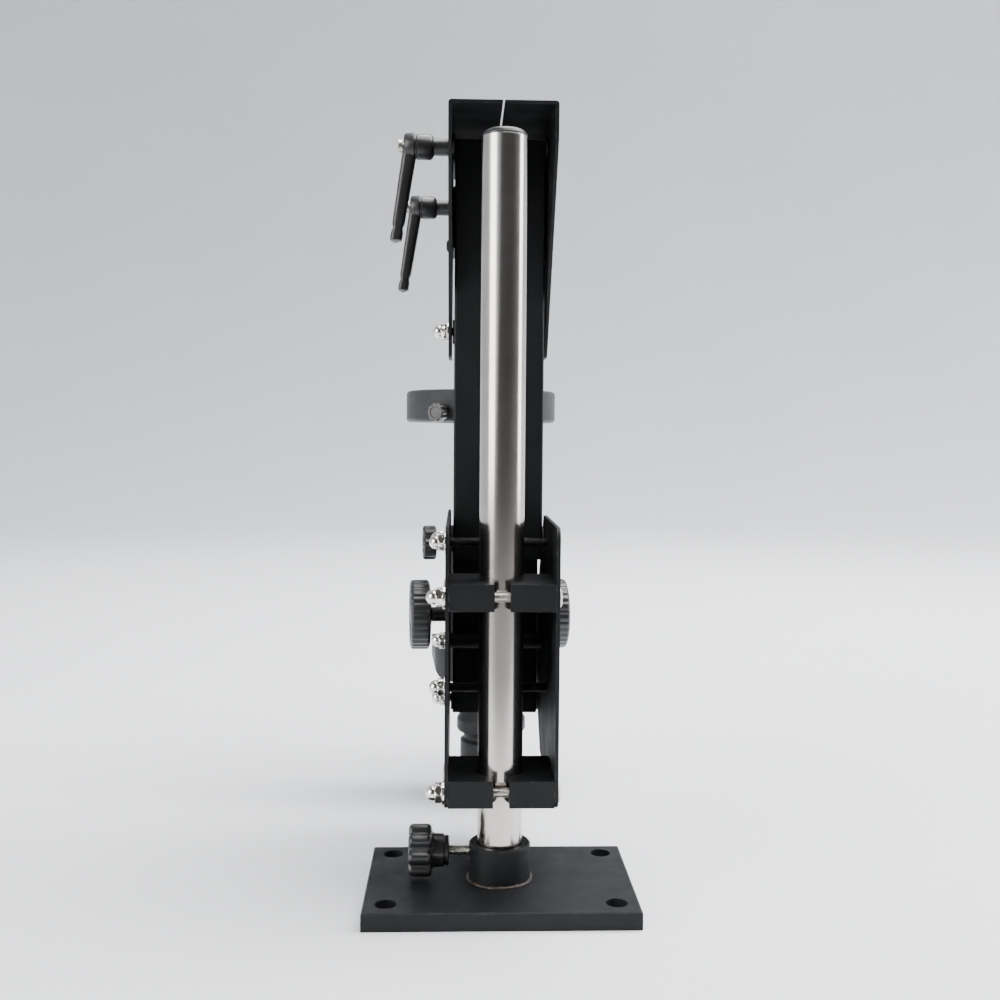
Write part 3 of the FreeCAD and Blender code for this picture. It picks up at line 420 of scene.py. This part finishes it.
def revolve(shape, origin, axis, profile, segments=96, rim=None):
    """Turned form: profile of (distance along axis, radius); rim changes a radius by angle."""
    u, v = side_axes(axis)
    rings = []
    for along, radius in profile:
        ring = []
        for k in range(segments):
            angle = 2 * math.pi * k / segments
            reach = rim(angle, along, radius) if rim else radius
            ring.append(origin + axis * along + (u * math.cos(angle) + v * math.sin(angle)) * reach)
        rings.append(ring)
    loft(shape, rings)


def rounded_profile(start, end, radius, corner, steps=6):
    """Profile of a disc with rounded rims, from start to end along the axis."""
    points = []
    for k in range(steps + 1):
        a = math.pi / 2 * k / steps
        points.append((start + corner * (1 - math.sin(a)), radius - corner * (1 - math.cos(a))))
    points = points[::-1]
    for k in range(steps + 1):
        a = math.pi / 2 * k / steps
        points.append((end - corner * (1 - math.sin(a)), radius - corner * (1 - math.cos(a))))
    return points


def lobed(lobes, depth, inner, sharpness=1.0):
    """Rim function for a hand knob: scallops that fade towards the centre."""
    def rim(angle, along, radius):
        wave = 0.5 - 0.5 * math.cos(lobes * angle)
        fade = max(0.0, min(1.0, (radius - inner) / (inner * 0.35)))
        return radius - depth * (wave ** sharpness) * fade
    return rim


def threaded(shape, origin, axis, start, end, radius, pitch, segments=28, depth=0.09):
    """Screw thread as one helical relief along a shank."""
    u, v = side_axes(axis)
    per_turn = 6
    count = max(2, int((end - start) / pitch * per_turn))
    rings = []
    for i in range(count + 1):
        along = start + (end - start) * i / count
        ring = []
        for k in range(segments):
            phase = (along / pitch - k / segments) % 1.0
            tooth = abs(2 * phase - 1)
            reach = radius * (1 - depth * 2 * (1 - tooth))
            angle = 2 * math.pi * k / segments
            ring.append(origin + axis * along + (u * math.cos(angle) + v * math.sin(angle)) * reach)
        rings.append(ring)
    loft(shape, rings)


def hexagon_prism(shape, origin, axis, start, end, flats, chamfer, turn=0.0):
    """Nut body: hexagon whose corners are chamfered at both ends."""
    apex = flats / math.sqrt(3)
    limit = flats / 2

    def ring(along, cap):
        u, v = side_axes(axis)
        points = []
        for k in range(48):
            angle = 2 * math.pi * k / 48 + turn
            sector = (angle % (math.pi / 3)) - math.pi / 6
            reach = min(limit / math.cos(sector), cap)
            points.append(origin + axis * along
                          + (u * math.cos(angle) + v * math.sin(angle)) * reach)
        return points
    loft(shape, [ring(start, limit * 0.99), ring(start + chamfer, apex),
                 ring(end - chamfer, apex), ring(end, limit * 0.99)])


# ---------------------------------------------------------------- pieces

def acorn_nut(shape, seat, length, turn):
    """Dome nut: hexagon on its washer and a polished dome towards -X."""
    axis = -X_AXIS
    flats, tall, dome = 10 * MM, 4 * MM, 4.25 * MM
    neck = length - dome
    hexagon_prism(shape, seat, axis, 0, tall, flats, 0.5 * MM, turn)
    profile = [(tall - 0.1 * MM, dome * 0.98), (tall + 0.3 * MM, dome), (neck, dome)]
    steps = 10
    for k in range(1, steps + 1):
        a = math.pi / 2 * k / steps
        profile.append((neck + dome * math.sin(a), max(dome * math.cos(a), 0.02 * MM)))
    revolve(shape, seat, axis, profile, 40)


def acorn_nuts(name, body, washers_node, nuts_node):
    """One nut on each washer of a washer node, each tightened to another angle."""
    shape = bmesh.new()
    spots = loose_centres(washers_node)
    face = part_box(washers_node)[0].x
    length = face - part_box(nuts_node)[0].x
    for k, spot in enumerate(spots):
        acorn_nut(shape, Vector((face, spot.y, spot.z)), length, 0.35 * k)
    add_piece(name, shape, MATERIALS["nickel"], body, [nuts_node])


def loose_centres(node):
    """Centre of each separate solid of a node, from low to high."""
    shape = bmesh.new()
    shape.from_mesh(nodes[node].data)
    bmesh.ops.remove_doubles(shape, verts=shape.verts, dist=1e-6)
    unseen = set(shape.verts)
    centres = []
    while unseen:
        stack = [unseen.pop()]
        island = []
        while stack:
            vert = stack.pop()
            island.append(vert.co.copy())
            for edge in vert.link_edges:
                other = edge.other_vert(vert)
                if other in unseen:
                    unseen.remove(other)
                    stack.append(other)
        low = Vector([min(c[i] for c in island) for i in range(3)])
        high = Vector([max(c[i] for c in island) for i in range(3)])
        centres.append((low + high) / 2)
    shape.free()
    return sorted(centres, key=lambda c: (round(c.z, 4), round(c.y, 4)))


def cross_bolts(name, body, node, bright):
    """Bolts through both plates: thread, low button head and hexagon socket."""
    low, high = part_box(node)
    spots = loose_centres(node)
    # Bolts that the bright test leaves out get black paint: painted shade, as dark as the shade
    # inside the bracket where they sit.
    for plating_or_painted_shade, slot, chosen in (("bright", "zinc", [p for p in spots if bright(p)]),
                                 ("dark", "black_paint", [p for p in spots if not bright(p)])):
        if not chosen:
            continue
        shape = bmesh.new()
        for spot in chosen:
            origin = Vector((0, spot.y, spot.z))
            threaded(shape, origin, X_AXIS, low.x, high.x - 1.6 * MM, BOLT_RADIUS, BOLT_PITCH)
            button_head(shape, Vector((high.x - FLAT_HEAD_HEIGHT, spot.y, spot.z)), X_AXIS,
                        FLAT_HEAD_RADIUS, FLAT_HEAD_HEIGHT)
        add_piece("%s_%s" % (name, plating_or_painted_shade), shape, MATERIALS[slot], body, [node])


def button_head(shape, seat, axis, radius, height):
    """Low round head with a hexagon socket."""
    profile = [(0, radius * 0.98), (0.25 * height, radius), (0.6 * height, radius * 0.93),
               (0.9 * height, radius * 0.72), (height, radius * 0.5)]
    socket = radius * 0.36

    def rim(angle, along, reach):
        if reach > socket * 1.05:
            return reach
        sector = (angle % (math.pi / 3)) - math.pi / 6
        return reach / math.cos(sector)
    profile += [(height, socket), (height * 0.35, socket), (height * 0.3, socket * 0.05)]
    revolve(shape, seat, axis, profile, 48, rim)


def side_screws(name, body, node, radius, height, slot):
    """Button-head screws seen on both side plates."""
    shape = bmesh.new()
    low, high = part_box(node)
    for spot in loose_centres(node):
        axis = X_AXIS if spot.x > 0 else -X_AXIS
        edge = high.x if spot.x > 0 else -low.x
        seat = Vector((0, spot.y, spot.z)) + axis * (edge - height)
        button_head(shape, seat, axis, radius, height)
        threaded(shape, seat, -axis, 0.05 * MM, 9 * MM, BOLT_RADIUS, BOLT_PITCH)
    add_piece(name, shape, MATERIALS[slot], body, [node])


def collar_hardware():
    low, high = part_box("collar_stud")
    centre = middle_of("collar_stud")
    shape = bmesh.new()
    origin = Vector((0, centre.y, centre.z))
    threaded(shape, origin, X_AXIS, low.x, high.x - 0.8 * MM, STUD_RADIUS, BOLT_PITCH, 36)
    revolve(shape, origin, X_AXIS, [(high.x - 0.85 * MM, 2.6 * MM), (high.x, 1.9 * MM)], 36)
    add_piece("collar_stud_thread", shape, MATERIALS["zinc"], "collar_screw",
              ["collar_stud"])
    klow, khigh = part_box("collar_knob")
    radius = (khigh.z - klow.z) / 2
    wide = 13 * MM
    shape = bmesh.new()
    axis = -X_AXIS
    face = Vector((khigh.x, centre.y, centre.z))
    hub_length = (khigh.x - klow.x) - wide
    profile = [(0, 7.4 * MM), (0.5 * MM, 8.2 * MM), (2.2 * MM, 8.6 * MM), (2.4 * MM, 8.1 * MM),
               (3.0 * MM, 8.1 * MM), (3.2 * MM, 9.2 * MM), (hub_length - 1.5 * MM, 9.5 * MM),
               (hub_length - 0.4 * MM, 10.4 * MM)]
    profile += rounded_profile(hub_length, hub_length + wide, radius, 2.6 * MM)
    profile += [(hub_length + wide - 0.2 * MM, radius * 0.62),
                (hub_length + wide - 0.9 * MM, radius * 0.58),
                (hub_length + wide - 0.9 * MM, radius * 0.1)]
    revolve(shape, face, axis, profile, 192, lobed(8, 3.1 * MM, 9.4 * MM, 1.6))
    add_piece("collar_knob_moulding", shape, MATERIALS["black_plastic"], "collar_screw",
              ["collar_knob"], 40)


def weld_bead():
    """Uneven fillet where the collar meets the plate."""
    low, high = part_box("pole_collar")
    radius = (high.x - low.x) / 2
    rings = []
    for k in range(120):
        angle = 2 * math.pi * k / 120
        out = Vector((math.cos(angle), math.sin(angle), 0))
        lump = 1 + 0.22 * math.sin(7 * angle) * math.sin(3 * angle + 1) + 0.1 * math.sin(23 * angle)
        size = 1.25 * MM * lump
        centre = out * (radius + 0.1 * MM) + Vector((0, 0, low.z + 0.1 * MM))
        ring = [centre + out * (size * math.cos(b)) + Z_AXIS * (size * max(0, math.sin(b)))
                for b in [2 * math.pi * i / 12 for i in range(12)]]
        rings.append(ring)
    shape = bmesh.new()
    loft(shape, rings, loop=True)
    add_piece("collar_weld", shape, WELD, "base")


def lever(name, body):
    """Adjustable clamp lever: ribbed hub, swept handle that leans out, rounded tip."""
    low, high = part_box(name)
    axis_spot = middle_of(name + "_stud")
    origin = Vector((0, axis_spot.y, axis_spot.z))
    shape = bmesh.new()
    neck_x, hub_x, head_x = high.x, -42.3 * MM, -52.1 * MM
    profile = [(-neck_x, 4.6 * MM), (-neck_x + 0.5 * MM, 5.2 * MM), (-hub_x - 1.4 * MM, 5.2 * MM),
               (-hub_x - 0.8 * MM, 6.6 * MM), (-hub_x, 7.2 * MM), (-hub_x + 0.8 * MM, 7.8 * MM),
               (-head_x - 0.8 * MM, 7.8 * MM), (-head_x - 0.3 * MM, 7.2 * MM),
               (-head_x + 0.6 * MM, 7.2 * MM), (-head_x + 1.0 * MM, 8.4 * MM),
               (-head_x + 6.2 * MM, 8.0 * MM), (-head_x + 7.2 * MM, 7.0 * MM),
               (-head_x + 7.4 * MM, 5.2 * MM), (-head_x + 6.4 * MM, 4.9 * MM),
               (-head_x + 6.4 * MM, 0.2 * MM)]
    revolve(shape, origin, -X_AXIS, profile, 64)
    length = axis_spot.z - low.z
    seat_x = head_x - 6.4 * MM
    stations = 36
    root, lean_out = 3.6 * MM, 8.9 * MM
    squareness = 0.62
    rings = []
    for k in range(stations + 1):
        t = k / stations
        drop = (0.03 + 0.97 * t) * length
        lean = head_x - root - lean_out * t
        thick = (4.5 - 0.8 * t) * MM
        width = (6.0 - 1.4 * t) * MM
        if t > 0.70:
            pinch = math.exp(-((t - 0.84) / 0.03) ** 2)
            thick -= 0.8 * MM * pinch
            width -= 0.6 * MM * pinch
        if t > 0.95:
            close = max(0.0, 1 - ((t - 0.95) / 0.0503) ** 4) ** 0.5
            thick, width = thick * max(close, 0.05), width * max(close, 0.05)
        centre = Vector((lean, axis_spot.y, axis_spot.z - drop))
        ring = []
        for i in range(28):
            a = 2 * math.pi * i / 28
            c, s = math.cos(a), math.sin(a)
            ring.append(centre + X_AXIS * (thick * math.copysign(abs(c) ** squareness, c))
                        + Y_AXIS * (width * math.copysign(abs(s) ** squareness, s)))
        rings.append(ring)
    loft(shape, rings)
    add_piece(name + "_moulding", shape, MATERIALS["black_plastic"], body,
              [name], 45)
    cap = bmesh.new()
    seat = Vector((seat_x, axis_spot.y, axis_spot.z))
    tall = seat.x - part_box(name + "_screw")[0].x
    head = [(0, 2.2 * MM), (tall * 0.35, 2.2 * MM), (tall * 0.36, 4.2 * MM),
            (tall * 0.9, 4.3 * MM), (tall, 3.9 * MM), (tall, 2.1 * MM), (tall * 0.6, 2.0 * MM),
            (tall * 0.6, 0.1 * MM)]
    revolve(cap, seat, -X_AXIS, head, 48)
    add_piece(name + "_cap_screw", cap, MATERIALS["zinc"], body, [name + "_screw"])


def focus_knob(node):
    """Large fluted hand wheel: dished face, fine rim flutes and a slim neck."""
    low, high = square_box(node)
    side = 1 if high.x + low.x > 0 else -1
    axis = X_AXIS * side
    axle_low, axle_high = square_box("focus_axle")
    centre = (axle_low + axle_high) / 2
    inner = min(abs(low.x), abs(high.x))
    outer = max(abs(low.x), abs(high.x))
    radius = (high.z - low.z) / 2
    origin = Vector((0, centre.y, centre.z))
    face = outer - 15 * MM
    profile = [(inner, 4.9 * MM), (inner + 0.6 * MM, 5.5 * MM), (face - 2 * MM, 5.5 * MM),
               (face - 0.6 * MM, 8 * MM), (face, 15 * MM), (face, radius - 3.4 * MM)]
    profile += rounded_profile(face + 0.3 * MM, outer - 0.4 * MM, radius, 2.4 * MM)[3:]
    profile += [(outer - 0.1 * MM, radius - 3.2 * MM), (outer - 0.9 * MM, radius - 4.2 * MM),
                (outer - 1.8 * MM, radius - 7 * MM), (outer - 1.9 * MM, 9 * MM),
                (outer - 1.2 * MM, 7.6 * MM), (outer - 0.5 * MM, 6.8 * MM),
                (outer - 0.4 * MM, 0.2 * MM)]
    shape = bmesh.new()
    revolve(shape, origin, axis, profile, 288, lobed(32, 1.3 * MM, radius * 0.88, 1.4))
    turn_with_post(shape)
    add_piece(node + "_wheel", shape, MATERIALS["black_plastic"], "focus_knobs",
              [node], 40)


def tension_hardware():
    """Small lobed friction knob on its long collar, with its screw."""
    low, high = square_box("tension_knob")
    screw_low, screw_high = square_box("tension_screw")
    radius = (high.z - low.z) / 2
    origin = Vector((0, (screw_low.y + screw_high.y) / 2, (screw_low.z + screw_high.z) / 2))
    back, front = -high.x, -low.x
    face = front - 10 * MM
    profile = [(back, 5.2 * MM), (back + 0.4 * MM, 6 * MM), (face - 0.4 * MM, 6 * MM),
               (face - 0.1 * MM, 8.4 * MM)]
    profile += rounded_profile(face, front, radius, 2.0 * MM)
    profile += [(front - 0.1 * MM, radius * 0.6), (front - 0.7 * MM, radius * 0.56),
                (front - 0.7 * MM, 0.2 * MM)]
    shape = bmesh.new()
    revolve(shape, origin, -X_AXIS, profile, 160, lobed(8, 2.2 * MM, 8.4 * MM, 1.5))
    turn_with_post(shape)
    add_piece("tension_knob_moulding", shape, MATERIALS["black_plastic"], "tension_knob",
              ["tension_knob"], 40)
    shank = bmesh.new()
    threaded(shank, origin, X_AXIS, screw_low.x + 0.6 * MM, screw_high.x, STUD_RADIUS,
             BOLT_PITCH)
    turn_with_post(shank)
    add_piece("tension_screw_thread", shank, MATERIALS["zinc"], "tension_knob",
              ["tension_screw"])


def coil_springs():
    """Two extension springs wound from wire, inside the tubes' space."""
    low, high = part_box("balance_springs")
    wire = 1.0 * MM
    mean = 8 * MM - wire
    turns = int((high.z - low.z) / (2.25 * wire))
    climb = high.z - low.z - 2 * wire
    sides = 8
    steps = 20
    for tag, x in (("left", -10 * MM), ("right", 10 * MM)):
        shape = bmesh.new()
        centre_y = (low.y + high.y) / 2
        rings = []
        for k in range(turns * steps + 1):
            angle = 2 * math.pi * k / steps
            out = Vector((math.cos(angle), math.sin(angle), 0))
            rise = low.z + wire + climb * k / (turns * steps)
            centre = Vector((x, centre_y, rise)) + out * mean
            rings.append([centre + out * (wire * math.cos(b)) + Z_AXIS * (wire * math.sin(b))
                          for b in [2 * math.pi * i / sides for i in range(sides)]])
        loft(shape, rings)
        add_piece("balance_coil_" + tag, shape, MATERIALS["spring_steel"], "upper_link",
                  ["balance_springs"], 60)


def ring_thumb_screw():
    """Small knurled thumb-screw that points at the ring's centre."""
    bore = next(m for m in frame["record"]["mounts"] if m["name"] == "ring_bore")
    rod = middle_of("ring_screw")
    centre = Vector((bore["pos_m"][0], bore["pos_m"][1], rod.z))
    way = (rod - centre).normalized()
    start = centre + way * 60.4 * MM
    shape = bmesh.new()
    profile = [(0, 3.8 * MM), (0.4 * MM, 4.5 * MM), (2.4 * MM, 4.5 * MM), (2.6 * MM, 6.2 * MM)]
    profile += rounded_profile(2.7 * MM, 11.5 * MM, 7.4 * MM, 1.4 * MM)
    profile += [(11.4 * MM, 4.4 * MM), (10.9 * MM, 4.0 * MM), (10.9 * MM, 0.1 * MM)]
    revolve(shape, start, way, profile, 120, lobed(10, 1.0 * MM, 5.6 * MM, 1.3))
    add_piece("ring_screw_moulding", shape, MATERIALS["black_plastic"], "ring_clamp",
              ["ring_screw_knob"], 40)


def cap_disc():
    """Domed press-in end cap with a fine rim line."""
    low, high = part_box("pole_cap")
    tube_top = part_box("pole_tube")[1].z
    radius = (high.x - low.x) / 2
    origin = Vector()
    profile = [(tube_top - 8 * MM, radius - 2.6 * MM), (tube_top + 0.02 * MM, radius - 2.6 * MM),
               (tube_top + 0.05 * MM, radius - 0.25 * MM), (tube_top + 0.4 * MM, radius),
               (tube_top + 1.0 * MM, radius), (tube_top + 1.2 * MM, radius - 0.3 * MM)]
    crown = high.z - tube_top - 1.2 * MM
    for k in range(1, 9):
        a = math.pi / 2 * k / 8
        profile.append((tube_top + 1.2 * MM + crown * math.sin(a),
                        (radius - 0.3 * MM) * (1 - 0.26 * (1 - math.cos(a))) - 0.0001 * k))
    profile.append((high.z, 0.1 * MM))
    shape = bmesh.new()
    revolve(shape, origin, Z_AXIS, profile, 96)
    add_piece("pole_cap_dome", shape, MATERIALS["black_plastic"], "pole",
              ["pole_cap"])


def make_backdrop():
    """Seamless round paper: a floor that sweeps up into a wall all round the stand."""
    start, sweep, wall, steps = 2.6, 2.6, 4.5, 24
    profile = [(0.6, 0.0), (start, 0.0)]
    for k in range(1, steps + 1):
        angle = math.pi / 2 * k / steps
        profile.append((start + sweep * math.sin(angle), sweep * (1 - math.cos(angle))))
    profile.append((start + sweep, wall))
    sides = 96
    turns = [2 * math.pi * k / sides for k in range(sides)]
    shape = bmesh.new()
    rows = [[shape.verts.new((reach * math.cos(turn), reach * math.sin(turn), height))
             for turn in turns] for reach, height in profile]
    shape.faces.new(rows[0])
    for inner, outer in zip(rows, rows[1:]):
        for k in range(sides):
            j = (k + 1) % sides
            shape.faces.new((inner[k], outer[k], outer[j], inner[j]))
    data = bpy.data.meshes.new("backdrop")
    shape.to_mesh(data)
    shape.free()
    data.shade_smooth()
    data.materials.append(floor_paper())
    paper = bpy.data.objects.new("backdrop", data)
    bpy.context.scene.collection.objects.link(paper)


make_camera()
make_studio()
make_backdrop()
dress_frame()
collar_hardware()
weld_bead()
cap_disc()
acorn_nuts("bracket_acorn_nuts", "bracket", "bracket_washers", "bracket_nuts")
acorn_nuts("head_acorn_nuts", "head", "head_washers", "head_nuts")
# Only the bolts in front (y < 0) are zinc; the others sit inside the bracket and are black as
# painted shade.
cross_bolts("bracket_cross_bolts", "bracket", "bracket_bolts", lambda spot: spot.y < 0)
cross_bolts("head_cross_bolts", "head", "head_bolts", lambda spot: True)
side_screws("clamp_block_button_screws", "bracket", "clamp_block_screws", FLAT_HEAD_RADIUS,
            FLAT_HEAD_HEIGHT, "zinc")
side_screws("head_button_screws", "head", "head_block_screws", 4.6 * MM, 3.0 * MM, "black_paint")
lever("arm_lever", "arm_lever")
lever("post_lever", "post_lever")
focus_knob("focus_knob_left")
focus_knob("focus_knob_right")
tension_hardware()
coil_springs()
ring_thumb_screw()
